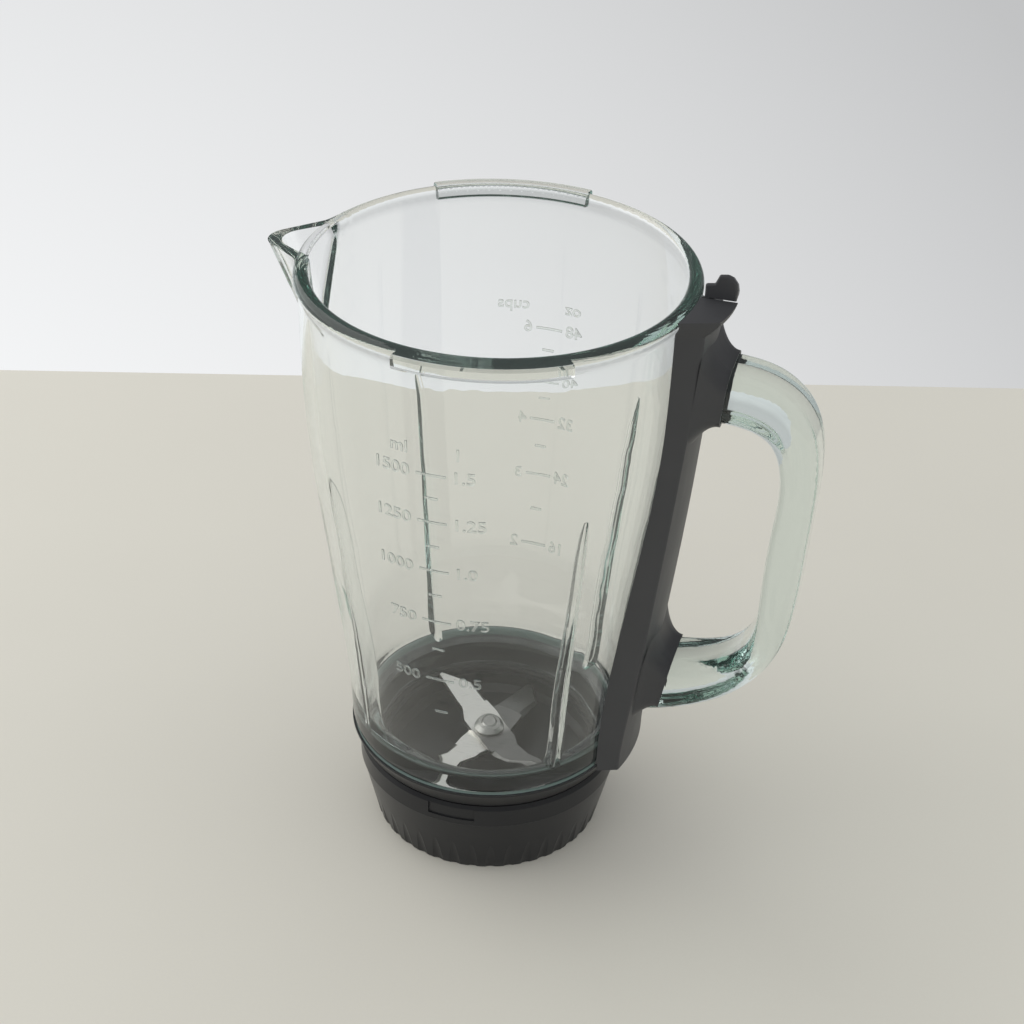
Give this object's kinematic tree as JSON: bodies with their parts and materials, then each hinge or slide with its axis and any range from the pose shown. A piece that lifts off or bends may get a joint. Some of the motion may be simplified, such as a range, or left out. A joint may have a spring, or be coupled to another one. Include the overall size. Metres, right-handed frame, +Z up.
{
  "type": "blender jar",
  "caption": "Glass blender jar with a pouring lip, inner ribs, a glass handle, a black spine with a lid interlock rod, and a twist-off blade base with a toothed drive.",
  "frame": {"origin": "centre of the jar's foot, on the surface that it stands on", "axes": "+Z up the jar's axis, +X towards the handle, -Y towards the metric scale"},
  "size_m": [0.1985, 0.1452, 0.24],
  "materials": {
    "clear_glass": "clear pressed soda-lime glass, green at the edges",
    "black_plastic": "satin black moulding",
    "spring_steel": "bare wire",
    "seal_rubber": "matt black rubber",
    "bush_bronze": "plain sintered bronze",
    "blade_steel": "brushed stainless steel",
    "drive_plastic": "matt black moulding"
  },
  "bodies": {
    "jug": {"glass_jug": "clear_glass", "handle_cover_front": "black_plastic", "handle_cover_back": "black_plastic", "rod_spring": "spring_steel", "jar_ring": "black_plastic"},
    "rod": {"interlock_rod": "black_plastic"},
    "base": {"blade_base": "black_plastic", "sealing_ring": "seal_rubber", "upper_bush": "bush_bronze", "lower_bush": "bush_bronze", "shaft_seal": "seal_rubber"},
    "blades": {"blade_shaft": "blade_steel", "thrust_washer": "blade_steel", "lower_blade": "blade_steel", "upper_blade": "blade_steel", "blade_cap": "blade_steel", "drive_coupling": "drive_plastic", "drive_insert": "bush_bronze", "lower_washer": "blade_steel"}
  },
  "joints": [
    {"name": "rod_press", "type": "slide", "parent": "jug", "child": "rod", "axis": [-0.0905, 0, -0.9959], "range_m": [0, 0.003], "stiffness_N_per_m": 400, "springref_m": -0.002, "deforming": ["rod_spring"]},
    {"name": "base_twist", "type": "hinge", "parent": "jug", "child": "base", "pos_m": [0, 0, 0], "axis": [0, 0, -1], "range_deg": [0, 45]},
    {"name": "blade_spin", "type": "hinge", "parent": "base", "child": "blades", "pos_m": [0, 0, 0], "axis": [0, 0, 1], "continuous": true}
  ]
}
